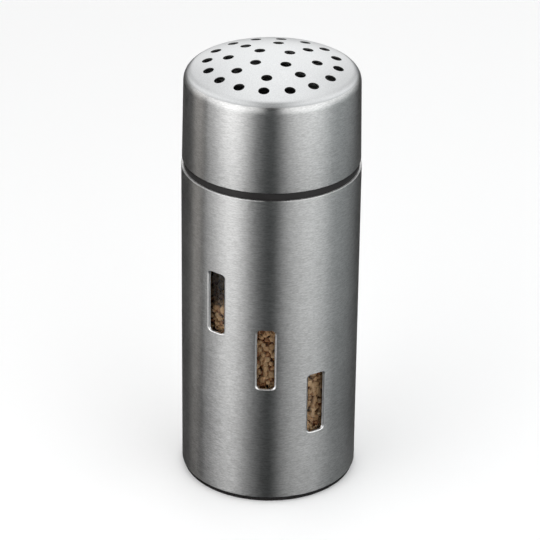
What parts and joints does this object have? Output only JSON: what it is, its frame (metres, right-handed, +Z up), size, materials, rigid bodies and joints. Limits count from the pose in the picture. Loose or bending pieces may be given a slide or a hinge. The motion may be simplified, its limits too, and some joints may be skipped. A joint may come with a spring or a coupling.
{
  "type": "spice shaker",
  "caption": "Round spice shaker: a glass jar in a brushed steel sleeve with a diagonal row of windows, under a domed steel screw cap pierced with sprinkling holes.",
  "frame": {"origin": "centre of the foot, on the surface that the shaker stands on", "axes": "+Z up along the shaker's axis, -Y towards the front, where the row of windows is, +X to the right seen from the front"},
  "size_m": [0.05, 0.05, 0.1266],
  "materials": {
    "brushed_body": "brushed around the sleeve",
    "satin_cap": "brushed side and satin dome",
    "clear_glass": "clear, glossy",
    "black_plastic": "fine satin",
    "grey_foam": "closed-cell foam",
    "seal_rubber": "soft, translucent white",
    "spice": "coarse tan and brown grains"
  },
  "bodies": {
    "jar_and_sleeve": {"steel_sleeve": "brushed_body", "glass_jar": "clear_glass", "neck_collar": "black_plastic", "base_cup": "black_plastic", "jar_pad": "grey_foam", "spice_fill": "spice"},
    "seal": {"cap_seal": "seal_rubber"},
    "cap": {"cap_shell": "satin_cap", "cap_insert": "black_plastic"}
  },
  "joints": [
    {"name": "cap_lift", "type": "slide", "parent": "jar_and_sleeve", "child": "seal", "axis": [0, 0, 1], "range_m": [0, 0.012]},
    {"name": "cap_twist", "type": "hinge", "parent": "seal", "child": "cap", "pos_m": [0, 0, 0.1], "axis": [0, 0, 1], "range_deg": [0, 1081]}
  ],
  "couplings": [
    {"joint": "cap_twist", "follows": "cap_lift", "rad_per_m": 1570.8}
  ]
}
